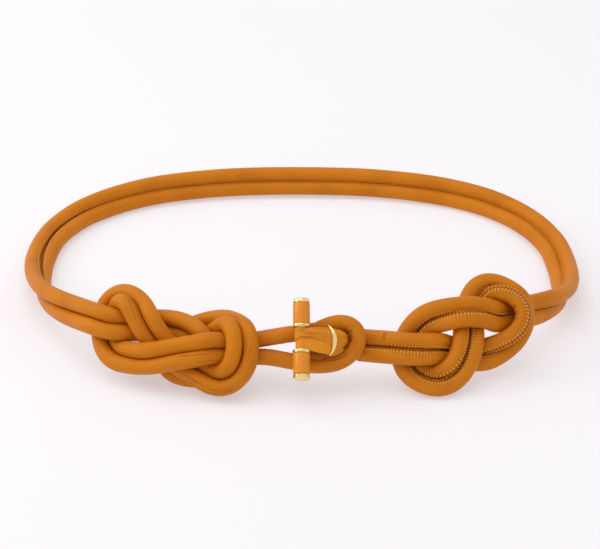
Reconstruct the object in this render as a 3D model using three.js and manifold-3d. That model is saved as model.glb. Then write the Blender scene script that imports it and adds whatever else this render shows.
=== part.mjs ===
// A waist belt of one round padded cord of imitation leather, folded in half and knotted beside a toggle.
// Millimetres, +Z up, standing on z = 0. +X runs to the right as seen from the front, and -Y is the front.
import * as THREE from "three";
import Module from "manifold-3d";

const wasm = await Module();
wasm.setup();
const { Manifold, Mesh } = wasm;

// Cord: 9 mm round, the two halves lie 9.4 mm apart from middle to middle.
const CORD_DIAMETER = 8.7;
const PAIR_PITCH = 8.9;
const LEAST_PITCH = 8.95;
const CORD_SIDES = 8;
const CORD_STEP = 5;
const ROUTE_STEP = 2.5;
// Front: the knots and the toggle lie on a curved sheet that leans back.
const FRONT_Y = -119.3;
const FRONT_Z = 31;
const FRONT_RADIUS = 260;
const FRONT_LEAN = 38;
// Toggle: a 44.4 mm bar with caps and collars 9.3 to 9.9 mm across.
const BAR_AT = [0.8, -2.9, 8.5];
const BAR_TILT = 7;
const CAP_RADIUS = 4.65;
const CAP_LENGTH = 2.6;
const SLEEVE_RADIUS = 4.6;
const SLEEVE_LENGTH = 11.7;
const COLLAR_RADIUS = 4.95;
const COLLAR_LENGTH = 1.7;
const MIDDLE_LENGTH = 12.4;
const ROD_RADIUS = 2.6;
const MIDDLE_RADIUS = 3.1;
const GAP = 0.3;
const ROUND_SEGMENTS = 20;
// Strap: 1.5 mm leather round the bar, an 11.6 by 4 mm fold to the keeper and a gathered end behind it.
const WRAP_RADIUS = 4.9;
const WRAP_WIDTH = 11.8;
const FOLD_SECTION = [11.6, 4];
const GATHER_SECTION = [8.6, 6];
const KEEPER_SECTION = [15.8, 8.4];
const KEEPER_WALL = 1.1;
const KEEPER_WIDTH = 2;
const KEEPER_AT = [15.4, -4, 7.5];
const KEEPER_TURN = 12;
// Moves the drawing so that the middle of its floor rectangle is at the origin.
const HOME = [-0.2, 18.2, -0.02];

// Columns: across, up, out, turn. The pair's middle on the front sheet, from the toggle to the right side.
const RIGHT_KNOT = [
  [31.5, -5.2, -8.6, 0], [37, -6.2, -8.2, 0], [43, -7.6, -6, 0], [48.5, -9, -1.5, 0],
  [53.5, -11, 4.7, 0], [69.5, -13.5, 1, 0], [90.5, -17, -4.7, 0], [99.5, -20.5, -2, 25],
  [108, -20, 1, 40], [116.5, -17.5, 4, 50], [123.5, -11, 7, 58], [127, -3.5, 7.5, 58],
  [125, 7.5, 4, 50], [117, 13.5, 0, 40], [105, 12.5, -3, 15], [99, 4.5, -4.7, 0], [93.5, -7, 0, 0],
  [88.5, -17, 4.7, 0], [82.5, -25.5, 3, 0], [73.5, -29.5, 0, 10], [62.5, -27.5, -2, 10],
  [56.5, -20.5, -4, 0], [55.5, -10.5, -4.7, 0], [62, -3, -3, 0], [69.3, 2, 0, 0], [79.5, 4, 3, 0],
  [94, 2.4, 4.7, 0], [109, 0.4, 0, 0], [127, -3, -5.5, 0],
];
// Columns: x, y, z, turn. The pair's middle from the right-hand exit round the back to the left knot.
const BACK_BAND = [
  [143, -66, 19, 10], [153, -42, 12, 35], [156.5, -8, 7, 66], [152, 30, 7, 66], [134, 63, 7.5, 50],
  [103, 86, 8.5, 32], [55, 100, 9.3, 25], [0, 104, 9.5, 25], [-55, 101, 9.3, 25], [-103, 88, 8.5, 32],
  [-134, 66, 7.5, 50], [-151, 38, 7, 66], [-156, 5, 7, 66], [-153, -28, 11, 35], [-144, -58, 18, 10],
];
// Columns: across, up, out, turn. The pair's middle through the left knot, to the loop for the toggle.
const LEFT_KNOT = [
  [-117, -4.5, 2, 0], [-111, -5, 4.7, 0], [-98, -4, 0, 0], [-87, -2.5, -4.7, 0], [-76, -1, -4, 0],
  [-65, -3.5, -4.7, 0], [-53, -8, -5, 0], [-42, -13, -9, 25], [-33.5, -16, -12, 45],
  [-34, -22, -13.5, 50], [-46, -25, -13.5, 60], [-59, -25.5, -11.5, 65], [-71, -21, -12, 60],
  [-77.5, -12, -14, 45], [-71, -3.5, -14, 10], [-60, -2, -12, -30], [-50, 2.2, -6, -60],
  [-41, 4.4, -2, -62], [-32.6, 1, 3, -30], [-28.8, -8, 4.7, -5], [-29.8, -17.5, 3, 0], [-35, -24, 1, 0],
  [-41.5, -25.5, 0, 0], [-48, -22, -2, 0], [-56, -16.5, -4.7, 0], [-69, -12.5, -4, 0],
  [-79.6, -8.5, 0, 0], [-84, -2, 4.7, 0], [-90, 6, 3, 25], [-98, 11, 0, 40], [-106.5, 10.5, -2, 40],
  [-112, 5.5, -4, 25], [-112, -3, -4.7, 0], [-108.5, -13, -3, 0], [-102.5, -17.8, -1, 0],
  [-96, -20, 1, 0], [-90, -20.3, 3, 0], [-78, -19, 4.7, 0], [-65.5, -15.8, 4.7, 5],
  [-53, -12.6, 4.7, 20], [-41, -9.8, 0, 35], [-30, -7.6, -4.7, 30], [-20.8, -6.6, -4, 10],
];
// Columns: across, up, out. The fold of the cord that the toggle is buttoned through, upper leg first.
const TOGGLE_LOOP = [
  [-10.8, 0, -3], [-3.8, 1.2, -3.2], [2.7, 1.9, -3.2], [8.6, 2.6, -2.5], [15.1, 5.2, -1], [22.2, 6.4, 0],
  [28.2, 4.6, 1], [31.4, -1.1, 1.5], [30, -7.1, 1], [25.7, -12, 0], [19.7, -15.2, 0], [13.1, -16.7, 0],
  [6, -16.6, -1], [-3.2, -14, -3], [-10.8, -12.7, -3],
];
// Columns: across, up, out. The strap's fold from the bar to the keeper, and its gathered end below the loop.
const FOLD_PATH = [[4.2, -2.9, 8.6], [6.5, -3.1, 8.5], [10, -3.5, 8.1], [15.7, -4, 7.5], [19, -4.2, 6]];
const GATHER_PATH = [
  [18, -4.1, 6.6], [19.2, -4.2, 4.8], [20.6, -4.3, 0.6], [22.8, -4.6, -5], [26.5, -5, -8.2], [30.3, -5.1, -8.5],
];

const radians = (degrees) => (degrees * Math.PI) / 180;
const LEAN_SIN = Math.sin(radians(FRONT_LEAN));
const LEAN_COS = Math.cos(radians(FRONT_LEAN));

function sheetPoint([across, up, out]) {
  const angle = across / FRONT_RADIUS;
  const radius = FRONT_RADIUS - (LEAN_SIN * up - LEAN_COS * out);
  return [
    Math.sin(angle) * radius,
    FRONT_Y + FRONT_RADIUS - Math.cos(angle) * radius,
    FRONT_Z + LEAN_COS * up + LEAN_SIN * out,
  ];
}

function sheetNormal(across) {
  const angle = across / FRONT_RADIUS;
  return [Math.sin(angle) * LEAN_COS, -Math.cos(angle) * LEAN_COS, LEAN_SIN];
}

// The place and directions of the sheet at a point: +X across, +Y up the sheet, +Z out of it.
function sheetFrame(at, tilt = 0) {
  const angle = at[0] / FRONT_RADIUS;
  const across = new THREE.Vector3(Math.cos(angle), Math.sin(angle), 0);
  const out = new THREE.Vector3(...sheetNormal(at[0]));
  const up = new THREE.Vector3().crossVectors(out, across);
  const frame = new THREE.Matrix4().makeBasis(across, up, out);
  frame.multiply(new THREE.Matrix4().makeRotationX(radians(-tilt)));
  return frame.setPosition(...sheetPoint(at));
}

const minus = (a, b) => a.map((v, k) => v - b[k]);
const length = (a) => Math.hypot(a[0], a[1], a[2]);
const unit = (a) => a.map((v) => v / length(a));
const dot = (a, b) => a[0] * b[0] + a[1] * b[1] + a[2] * b[2];
const cross = (a, b) => [a[1] * b[2] - a[2] * b[1], a[2] * b[0] - a[0] * b[2], a[0] * b[1] - a[1] * b[0]];

// A smooth line through the rows, with knots spaced by the distance between them.
function through(rows, per) {
  const knots = [0];
  for (let i = 1; i < rows.length; i++) knots.push(knots[i - 1] + length(minus(rows[i], rows[i - 1])));
  const slopes = [];
  for (let i = 1; i < rows.length; i++) {
    slopes.push(minus(rows[i], rows[i - 1]).map((v) => v / (knots[i] - knots[i - 1])));
  }
  const leaving = rows.map((row, i) => {
    if (i === 0) return slopes[0];
    if (i === rows.length - 1) return slopes[i - 1];
    const before = knots[i] - knots[i - 1];
    const after = knots[i + 1] - knots[i];
    return row.map((_, k) => (slopes[i - 1][k] * after + slopes[i][k] * before) / (before + after));
  });
  const line = [];
  for (let i = 0; i < rows.length - 1; i++) {
    const span = knots[i + 1] - knots[i];
    for (let s = 0; s < per; s++) {
      const x = s / per;
      const a = (1 + 2 * x) * (1 - x) ** 2;
      const b = x * (1 - x) ** 2 * span;
      const c = x * x * (3 - 2 * x);
      const d = x * x * (x - 1) * span;
      const next = i + 1;
      line.push(rows[i].map((v, k) => a * v + b * leaving[i][k] + c * rows[next][k] + d * leaving[next][k]));
    }
  }
  line.push(rows[rows.length - 1]);
  return line;
}

// The line again with its points an even distance apart.
function spaced(line, step) {
  const along = [0];
  for (let i = 1; i < line.length; i++) along.push(along[i - 1] + length(minus(line[i], line[i - 1])));
  const total = along[along.length - 1];
  const count = Math.round(total / step);
  const out = [];
  let i = 0;
  for (let n = 0; n <= count; n++) {
    const at = (total * n) / count;
    while (i < line.length - 2 && along[i + 1] < at) i++;
    const share = Math.min(1, (at - along[i]) / (along[i + 1] - along[i]));
    out.push(line[i].map((v, k) => v + share * (line[i + 1][k] - v)));
  }
  return out;
}

// The two halves of the cord, side by side along the pair's middle line.
function pair() {
  const onSheet = (row) => [...sheetPoint(row), ...sheetNormal(row[0]), row[3]];
  const band = BACK_BAND.map(([x, y, z, turn]) => [x, y, z, 0, 0, 0, turn]);
  const rows = [...RIGHT_KNOT.map(onSheet), ...band, ...LEFT_KNOT.map(onSheet)];
  for (let i = RIGHT_KNOT.length; i < RIGHT_KNOT.length + band.length; i++) {
    const outward = unit(cross(minus(rows[i + 1], rows[i - 1]), [0, 0, 1]));
    for (let k = 0; k < 3; k++) rows[i][3 + k] = outward[k];
  }
  const line = through(rows, 14);
  const first = [];
  const second = [];
  line.forEach((row, i) => {
    const ahead = line[Math.min(i + 1, line.length - 1)];
    const behind = line[Math.max(i - 1, 0)];
    const along = unit(minus(ahead, behind));
    const normal = row.slice(3, 6);
    const lean = dot(normal, along);
    const out = unit(normal.map((v, k) => v - lean * along[k]));
    const side = cross(out, along);
    const turn = radians(row[6]);
    const off = side.map((v, k) => ((v * Math.cos(turn) + out[k] * Math.sin(turn)) * PAIR_PITCH) / 2);
    first.push([0, 1, 2].map((k) => row[k] + off[k]));
    second.push([0, 1, 2].map((k) => row[k] - off[k]));
  });
  return [first, second];
}

// Presses the line's turns apart until they lie beside and over each other, and keeps them above the floor.
function settle(line) {
  const count = line.length;
  const p = new Float64Array(count * 3);
  line.forEach((q, i) => p.set(q.slice(0, 3), i * 3));
  const pressed = new Float64Array(count);
  const skip = Math.round((1.7 * CORD_DIAMETER) / ROUTE_STEP);
  for (let round = 0; round < 200; round++) {
    const move = new Float64Array(count * 3);
    const hits = new Float64Array(count);
    for (let i = 0; i < count; i++) {
      for (let j = i + skip; j < count; j++) {
        const x = p[i * 3] - p[j * 3];
        if (x > LEAST_PITCH || x < -LEAST_PITCH) continue;
        const y = p[i * 3 + 1] - p[j * 3 + 1];
        const z = p[i * 3 + 2] - p[j * 3 + 2];
        const far = Math.sqrt(x * x + y * y + z * z);
        if (far >= LEAST_PITCH) continue;
        const push = ((LEAST_PITCH - far) * 0.4) / far;
        [x, y, z].forEach((v, k) => {
          move[i * 3 + k] += v * push;
          move[j * 3 + k] -= v * push;
        });
        hits[i]++;
        hits[j]++;
      }
    }
    for (let i = 0; i < count; i++) {
      for (let k = 0; k < 3; k++) move[i * 3 + k] /= Math.sqrt(Math.max(hits[i], 1));
    }
    for (let pass = 0; pass < 2; pass++) {
      const from = move.slice();
      for (let i = 3; i < count * 3 - 3; i++) move[i] = (from[i - 3] + 2 * from[i] + from[i + 3]) / 4;
    }
    for (let i = 0; i < count * 3; i++) p[i] += move[i];
    for (let i = 0; i < count; i++) if (hits[i] > 0) pressed[i] = 1;
    const share = pressed.slice();
    for (let i = 2; i < count - 2; i++) {
      share[i] = (pressed[i - 2] + pressed[i - 1] + pressed[i] + pressed[i + 1] + pressed[i + 2]) / 5;
    }
    const from = p.slice();
    for (let i = 3; i < count * 3 - 3; i++) {
      p[i] += 0.06 * share[Math.floor(i / 3)] * ((from[i - 3] + from[i + 3]) / 2 - from[i]);
    }
    for (let i = 0; i < count; i++) p[i * 3 + 2] = Math.max(p[i * 3 + 2], CORD_DIAMETER / 2);
  }
  return line.map((_, i) => [p[i * 3], p[i * 3 + 1], p[i * 3 + 2]]);
}

class Route extends THREE.Curve {
  constructor(points) {
    super();
    this.points = points.map((p) => new THREE.Vector3(...p));
    this.arcLengthDivisions = points.length * 2;
  }
  getPoint(t, target = new THREE.Vector3()) {
    const at = Math.min(Math.max(t, 0), 1) * (this.points.length - 1);
    const i = Math.min(Math.floor(at), this.points.length - 2);
    return target.lerpVectors(this.points[i], this.points[i + 1], at - i);
  }
}

// A route for a flat section: its thickness stays in the direction out of the sheet.
class FlatRoute extends Route {
  computeFrenetFrames(segments) {
    const out = new THREE.Vector3(...sheetNormal(10));
    const frames = { tangents: [], normals: [], binormals: [] };
    for (let i = 0; i <= segments; i++) {
      const tangent = this.getTangentAt(i / segments);
      const binormal = new THREE.Vector3().crossVectors(tangent, out).normalize();
      frames.tangents.push(tangent);
      frames.binormals.push(binormal);
      frames.normals.push(new THREE.Vector3().crossVectors(binormal, tangent));
    }
    return frames;
  }
}

function cordRoute() {
  const [first, second] = pair();
  const every = (row, i) => i % 6 === 0;
  const loop = TOGGLE_LOOP.map(sheetPoint);
  const keys = [...first.filter(every), ...loop, ...second.slice().reverse().filter(every)];
  return settle(spaced(through(keys, 8), ROUTE_STEP));
}

function circle(radius, sides) {
  const points = [];
  for (let i = 0; i < sides; i++) {
    const angle = ((i + 0.5) / sides) * Math.PI * 2;
    points.push(new THREE.Vector2(Math.cos(angle) * radius, Math.sin(angle) * radius));
  }
  return new THREE.Shape(points);
}

// A rectangle of the given height and thickness with its corners cut at 45 degrees.
function cutRectangle(high, thick, cut, Kind = THREE.Shape) {
  const x = thick / 2;
  const y = high / 2;
  const upper = [[x, y - cut], [x - cut, y], [cut - x, y], [-x, y - cut]];
  const corners = [...upper, ...upper.map(([a, b]) => [-a, -b])];
  return new Kind(corners.map((c) => new THREE.Vector2(...c)));
}

function sweep(shape, extrudePath, steps) {
  return new THREE.ExtrudeGeometry(shape, { steps, extrudePath, bevelEnabled: false });
}

const flatRoute = (rows) => new FlatRoute(spaced(through(rows.map(sheetPoint), 8), 1));

function toManifold(geometry) {
  const flat = geometry.index ? geometry.toNonIndexed() : geometry;
  const from = flat.attributes.position;
  const places = new Map();
  const points = [];
  const corners = new Uint32Array(from.count);
  for (let i = 0; i < from.count; i++) {
    const p = [from.getX(i), from.getY(i), from.getZ(i)];
    const key = p.map((v) => Math.round(v * 1e4)).join(" ");
    if (!places.has(key)) {
      places.set(key, points.length / 3);
      points.push(...p);
    }
    corners[i] = places.get(key);
  }
  const kept = [];
  for (let i = 0; i < corners.length; i += 3) {
    const [a, b, c] = corners.slice(i, i + 3);
    if (a !== b && b !== c && c !== a) kept.push(a, b, c);
  }
  const vertProperties = new Float32Array(points);
  return new Manifold(new Mesh({ numProp: 3, vertProperties, triVerts: new Uint32Array(kept) }));
}

function fromManifold(solid) {
  const mesh = solid.getMesh();
  const geometry = new THREE.BufferGeometry();
  geometry.setAttribute("position", new THREE.BufferAttribute(mesh.vertProperties, 3));
  geometry.setIndex(new THREE.BufferAttribute(mesh.triVerts, 1));
  return geometry;
}

const group = new THREE.Group();
group.name = "faux_leather_belt";

function add(name, geometry, color, metalness, roughness) {
  geometry.translate(...HOME);
  const mesh = new THREE.Mesh(geometry, new THREE.MeshStandardMaterial({ color, metalness, roughness }));
  mesh.name = name;
  group.add(mesh);
}

const LEATHER = 0xd08a35;
const GOLD = 0xd9b45a;

// The cord: one piece, folded in half at the toggle loop, with both ends at the strap.
const route = cordRoute();
let routeLength = 0;
for (let i = 1; i < route.length; i++) routeLength += length(minus(route[i], route[i - 1]));
const cordSteps = Math.round(routeLength / CORD_STEP);
const cord = sweep(circle(CORD_DIAMETER / 2, CORD_SIDES), new Route(route), cordSteps);
add("leather_cord", cord, LEATHER, 0, 0.55);

// The toggle bar: a turned metal rod with an end cap and a collar at each side of the strap.
const barFrame = sheetFrame(BAR_AT, BAR_TILT);
const halfMiddle = MIDDLE_LENGTH / 2;
const collarEnd = halfMiddle + COLLAR_LENGTH;
const sleeveEnd = collarEnd + SLEEVE_LENGTH;
const barEnd = sleeveEnd + CAP_LENGTH;
const upperProfile = [
  [MIDDLE_RADIUS, halfMiddle], [COLLAR_RADIUS - 0.3, halfMiddle], [COLLAR_RADIUS, halfMiddle + 0.5],
  [COLLAR_RADIUS, collarEnd - 0.5], [COLLAR_RADIUS - 0.3, collarEnd], [ROD_RADIUS, collarEnd],
  [ROD_RADIUS, sleeveEnd], [CAP_RADIUS, sleeveEnd], [CAP_RADIUS, barEnd - 0.5],
  [CAP_RADIUS - 0.5, barEnd], [0, barEnd],
];
const barProfile = [...upperProfile.map(([r, y]) => [r, -y]).reverse(), ...upperProfile];
const rod = new THREE.LatheGeometry(barProfile.map((p) => new THREE.Vector2(...p)), ROUND_SEGMENTS);
add("toggle_bar", rod.applyMatrix4(barFrame), GOLD, 1, 0.25);

// The two sleeves: leather-covered tubes on the rod, between each collar and its cap.
for (const [name, side] of [["upper_toggle_sleeve", 1], ["lower_toggle_sleeve", -1]]) {
  const low = collarEnd + GAP;
  const high = sleeveEnd - GAP;
  const inner = ROD_RADIUS + GAP;
  const ring = [[inner, low], [SLEEVE_RADIUS, low], [SLEEVE_RADIUS, high], [inner, high], [inner, low]];
  const tube = new THREE.LatheGeometry(ring.map((p) => new THREE.Vector2(...p)), ROUND_SEGMENTS);
  if (side < 0) tube.rotateX(Math.PI);
  add(name, tube.applyMatrix4(barFrame), LEATHER, 0, 0.5);
}

// The strap: wrapped round the bar, folded flat to the keeper and gathered behind it to the cord's ends.
const wrap = new THREE.CylinderGeometry(WRAP_RADIUS, WRAP_RADIUS, WRAP_WIDTH, ROUND_SEGMENTS);
const boreRadius = MIDDLE_RADIUS + GAP;
const bore = new THREE.CylinderGeometry(boreRadius, boreRadius, WRAP_WIDTH + 4, ROUND_SEGMENTS);
wrap.applyMatrix4(barFrame);
bore.applyMatrix4(barFrame);
const fold = sweep(cutRectangle(...FOLD_SECTION, 1), flatRoute(FOLD_PATH), 6);
const gather = sweep(cutRectangle(...GATHER_SECTION, 2), flatRoute(GATHER_PATH), 14);
const strap = toManifold(wrap).add(toManifold(fold)).add(toManifold(gather)).subtract(toManifold(bore));
add("toggle_strap", fromManifold(strap), LEATHER, 0, 0.55);

// The keeper: a thin metal band round the folded strap.
const band = cutRectangle(...KEEPER_SECTION, 2.2);
const [keeperHigh, keeperThick] = KEEPER_SECTION.map((size) => size - 2 * KEEPER_WALL);
band.holes.push(cutRectangle(keeperHigh, keeperThick, 1.6, THREE.Path));
const keeper = new THREE.ExtrudeGeometry(band, { depth: KEEPER_WIDTH, bevelEnabled: false });
keeper.translate(0, 0, -KEEPER_WIDTH / 2);
keeper.rotateY(Math.PI / 2 + radians(KEEPER_TURN));
add("strap_keeper", keeper.applyMatrix4(sheetFrame(KEEPER_AT)), GOLD, 1, 0.25);

export default group;
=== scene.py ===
import math

import bpy
import numpy as np
from mathutils import Matrix, Vector, noise


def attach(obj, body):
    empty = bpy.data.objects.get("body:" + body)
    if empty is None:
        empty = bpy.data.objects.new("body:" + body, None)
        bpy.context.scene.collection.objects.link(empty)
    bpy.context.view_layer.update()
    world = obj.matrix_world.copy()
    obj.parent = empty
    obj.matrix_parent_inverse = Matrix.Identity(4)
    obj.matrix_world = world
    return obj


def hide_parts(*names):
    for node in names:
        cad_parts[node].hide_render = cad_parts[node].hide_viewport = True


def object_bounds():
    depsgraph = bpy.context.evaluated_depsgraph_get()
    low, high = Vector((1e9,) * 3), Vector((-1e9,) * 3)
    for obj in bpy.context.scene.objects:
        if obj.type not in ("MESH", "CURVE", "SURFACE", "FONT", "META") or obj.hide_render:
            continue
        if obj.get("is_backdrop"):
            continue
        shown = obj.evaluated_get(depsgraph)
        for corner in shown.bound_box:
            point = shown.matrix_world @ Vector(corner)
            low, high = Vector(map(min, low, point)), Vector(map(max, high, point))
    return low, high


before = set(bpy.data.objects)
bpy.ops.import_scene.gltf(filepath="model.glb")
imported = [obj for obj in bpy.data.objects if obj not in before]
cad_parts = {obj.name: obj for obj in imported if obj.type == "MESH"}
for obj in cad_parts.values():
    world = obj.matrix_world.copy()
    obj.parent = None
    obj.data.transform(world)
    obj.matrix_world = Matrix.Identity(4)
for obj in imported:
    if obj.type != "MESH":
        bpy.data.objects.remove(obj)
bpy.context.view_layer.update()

bpy.ops.object.select_all(action="DESELECT")

# Camera.
# It stands in front of the belt and above it, and looks down on the middle of the belt at 30 degrees. A long
# lens keeps the closed belt nearly as wide at the back as at the front.
# HOME is where the middle of the waist lies in the frame, in metres.
HOME = np.array([-0.0002, 0.0182, -0.00002])
CAMERA_DISTANCE = 1.18
CAMERA_ELEVATION = math.radians(30)
camera_data = bpy.data.cameras.new("camera")
camera_data.lens = 118
camera_data.sensor_width = 36
camera = bpy.data.objects.new("camera", camera_data)
bpy.context.scene.collection.objects.link(camera)
camera.location = (
    HOME[0],
    HOME[1] - CAMERA_DISTANCE * math.cos(CAMERA_ELEVATION),
    HOME[2] + CAMERA_DISTANCE * math.sin(CAMERA_ELEVATION),
)
camera.rotation_euler = (math.pi / 2 - CAMERA_ELEVATION, 0, 0)
bpy.context.scene.camera = camera
bpy.context.scene.view_settings.view_transform = "Standard"

# Leather cord.
# One padded round cord of faux leather, folded in half. Its skin is a strip sewn closed along one side,
# and the doubled cord is tied into a knot on each side of the toggle and lies round the waist.
# Sizes are in millimetres. The two halves lie PAIR_PITCH apart, and strands that cross at least LEAST_PITCH.
# The front of the belt follows a leaning sheet, which curves round the waist.
MM = 0.001
CORD_RADIUS = 4.48
CORD_SIDES = 24
PAIR_PITCH = 8.9
LEAST_PITCH = 8.95
FLOOR_REACH = 4.55
ROUTE_STEP = 2.5
ROW_STEPS = 14
KEPT_STEP = 6
FRONT_Y = -119.3
FRONT_Z = 31
FRONT_RADIUS = 260
FRONT_LEAN = math.radians(38)
STITCH_PITCH = 1.6
# The pair's middle on the front sheet, from the toggle's strap through the right knot to the right side.
# Columns, in millimetres and degrees: across, up, out, turn of the pair, turn of the seam of its first half
# and of its second half towards the front.
RIGHT_KNOT = [
    (31.5, -5.2, -8.6, 0, 12, 40), (37, -6.2, -8.2, 0, 12, 40), (43, -7.6, -6, 0, 12, 40),
    (48.5, -9, -1.5, 0, 12, 40), (53.5, -11, 4.7, 0, 12, 40), (69.5, -13.5, 1, 0, 14, 38),
    (90.5, -17, -4.7, 0, 20, 28), (99.5, -20.5, -2, 25, 30, 20), (108, -20, 1, 40, 42, 16),
    (116.5, -17.5, 4, 50, 50, 14), (123.5, -11, 7, 58, 56, 12), (127, -3.5, 7.5, 58, 60, 12),
    (125, 7.5, 4, 50, 60, 12), (117, 13.5, 0, 40, 58, 12), (105, 12.5, -3, 15, 46, 14),
    (99, 4.5, -4.7, 0, 30, 18), (93.5, -7, 0, 0, 20, 24), (88.5, -17, 4.7, 0, 22, 32),
    (82.5, -25.5, 3, 0, 28, 38), (73.5, -29.5, 0, 10, 34, 40), (62.5, -27.5, -2, 10, 34, 40),
    (56.5, -20.5, -4, 0, 28, 34), (55.5, -10.5, -4.7, 0, 20, 30), (62, -3, -3, 0, 14, 34),
    (69.3, 2, 0, 0, 12, 38), (79.5, 4, 3, 0, 12, 38), (94, 2.4, 4.7, 0, 12, 32), (109, 0.4, 0, 0, 10, 20),
    (127, -3, -5.5, 0, 8, 8),
]
# The pair's middle from the right side round the back to the left side.
# Columns: x, y, z, turn of the pair, turn of the seam.
BACK_BAND = [
    (143, -66, 19, 10, 8), (153, -42, 12, 35, 0), (156.5, -8, 7, 66, 0), (152, 30, 7, 66, 0),
    (134, 63, 7.5, 50, 0), (103, 86, 8.5, 32, 0), (55, 100, 9.3, 25, 0), (0, 104, 9.5, 25, 0),
    (-55, 101, 9.3, 25, 0), (-103, 88, 8.5, 32, 0), (-134, 66, 7.5, 50, -10), (-151, 38, 7, 66, -20),
    (-156, 5, 7, 66, -30), (-153, -28, 11, 35, -40), (-144, -58, 18, 10, -45),
]
# The pair's middle on the front sheet, from the left side through the left knot to the toggle's loop.
# Columns: across, up, out, turn of the pair, turn of the seam.
LEFT_KNOT = [
    (-117, -4.5, 2, 0, -45), (-111, -5, 4.7, 0, -45), (-98, -4, 0, 0, -45), (-87, -2.5, -4.7, 0, -45),
    (-76, -1, -4, 0, -45), (-65, -3.5, -4.7, 0, -45), (-53, -8, -5, 0, -45), (-42, -13, -9, 25, -45),
    (-33.5, -16, -12, 45, -45), (-34, -22, -13.5, 50, -45), (-46, -25, -13.5, 60, -45),
    (-59, -25.5, -11.5, 65, -45), (-71, -21, -12, 60, -45), (-77.5, -12, -14, 45, -45),
    (-71, -3.5, -15.5, 10, -45), (-60, -2, -14.5, -25, -45),
    (-50, 1.4, -9.5, -45, -45), (-41, 3.8, -3, -50, -45),
    (-32.6, 1, 3, -30, -45), (-28.8, -8, 4.7, -5, -45), (-29.8, -17.5, 3, 0, -45), (-35, -24, 1, 0, -45),
    (-41.5, -25.5, 0, 0, -45), (-48, -22, -2, 0, -45), (-56, -16.5, -4.7, 0, -45), (-69, -12.5, -4, 0, -45),
    (-79.6, -8.5, 0, 0, -45), (-84, -2, 4.7, 0, -45), (-90, 6, 3, 25, -45), (-98, 11, 0, 40, -45),
    (-106.5, 10.5, -2, 40, -45), (-112, 5.5, -4, 25, -45), (-112, -3, -4.7, 0, -45),
    (-108.5, -13, -3, 0, -45), (-102.5, -17.8, -1, 0, -45), (-96, -20, 1, 0, -45), (-90, -20.3, 3, 0, -45),
    (-78, -19, 4.7, 0, -45), (-65.5, -15.8, 4.7, 5, -45), (-53, -12.6, 4.7, 20, -45),
    (-41, -9.8, 0, 35, -45), (-30, -7.6, -4.7, 30, -65), (-20.8, -6.6, -4, 10, -65),
]
# The loop of the cord that the toggle is buttoned through, upper leg first. Columns: across, up, out.
TOGGLE_LOOP = [
    (-10.8, 0, -3), (-3.8, 1.2, -3.2), (2.7, 1.9, -3.2), (8.6, 2.6, -2.5), (15.1, 5.2, -1), (22.2, 6.4, 0),
    (28.2, 4.6, 1), (31.4, -1.1, 1.5), (30, -7.1, 1), (25.7, -12, 0), (19.7, -15.2, 0), (13.1, -16.2, 0),
    (6, -16.1, -1), (-3.2, -14, -3), (-10.8, -12.7, -3),
]
LOOP_MIDDLE_ACROSS = 16
LOOP_MIDDLE_UP = -5.5


def on_sheet(across, up, out):
    """A point of the front sheet, which curves round the waist and leans back, in millimetres."""
    angle = across / FRONT_RADIUS
    radius = FRONT_RADIUS - (math.sin(FRONT_LEAN) * up - math.cos(FRONT_LEAN) * out)
    return np.array([
        math.sin(angle) * radius,
        FRONT_Y + FRONT_RADIUS - math.cos(angle) * radius,
        FRONT_Z + math.cos(FRONT_LEAN) * up + math.sin(FRONT_LEAN) * out,
    ])


def off_sheet(across):
    """The direction out of the front sheet."""
    angle = across / FRONT_RADIUS
    lean = math.cos(FRONT_LEAN)
    return np.array([math.sin(angle) * lean, -math.cos(angle) * lean, math.sin(FRONT_LEAN)])


def units(rows):
    """The rows, each made one long."""
    return rows / np.linalg.norm(rows, axis=-1, keepdims=True)


def step_up(value, low, high):
    """0 below low, 1 above high, and smooth between them."""
    share = np.clip((value - low) / (high - low), 0, 1)
    return share * share * (3 - 2 * share)


def through(rows, per):
    """A smooth line through the rows. The first three columns are a place, and the rest go along with it."""
    rows = np.array(rows, float)
    gaps = np.linalg.norm(np.diff(rows[:, :3], axis=0), axis=1)
    slopes = np.diff(rows, axis=0) / gaps[:, None]
    leaving = np.zeros_like(rows)
    leaving[0], leaving[-1] = slopes[0], slopes[-1]
    before, after = gaps[:-1, None], gaps[1:, None]
    leaving[1:-1] = (slopes[:-1] * after + slopes[1:] * before) / (before + after)
    line = []
    for i, span in enumerate(gaps):
        for step in range(per):
            x = step / per
            line.append(
                (1 + 2 * x) * (1 - x) ** 2 * rows[i] + x * (1 - x) ** 2 * span * leaving[i]
                + x * x * (3 - 2 * x) * rows[i + 1] + x * x * (x - 1) * span * leaving[i + 1]
            )
    line.append(rows[-1])
    return np.array(line)


def smoothed(values, rounds):
    """The values, each drawn towards its neighbours. The two ends stay."""
    values = values.copy()
    for _ in range(rounds):
        values[1:-1] = (values[:-2] + 2 * values[1:-1] + values[2:]) / 4
    return values


def spaced(line, step):
    """The line again with its points an even distance apart."""
    along = np.concatenate([[0], np.cumsum(np.linalg.norm(np.diff(line[:, :3], axis=0), axis=1))])
    at = np.linspace(0, along[-1], int(round(along[-1] / step)) + 1)
    return np.stack([np.interp(at, along, column) for column in line.T], axis=1)


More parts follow.
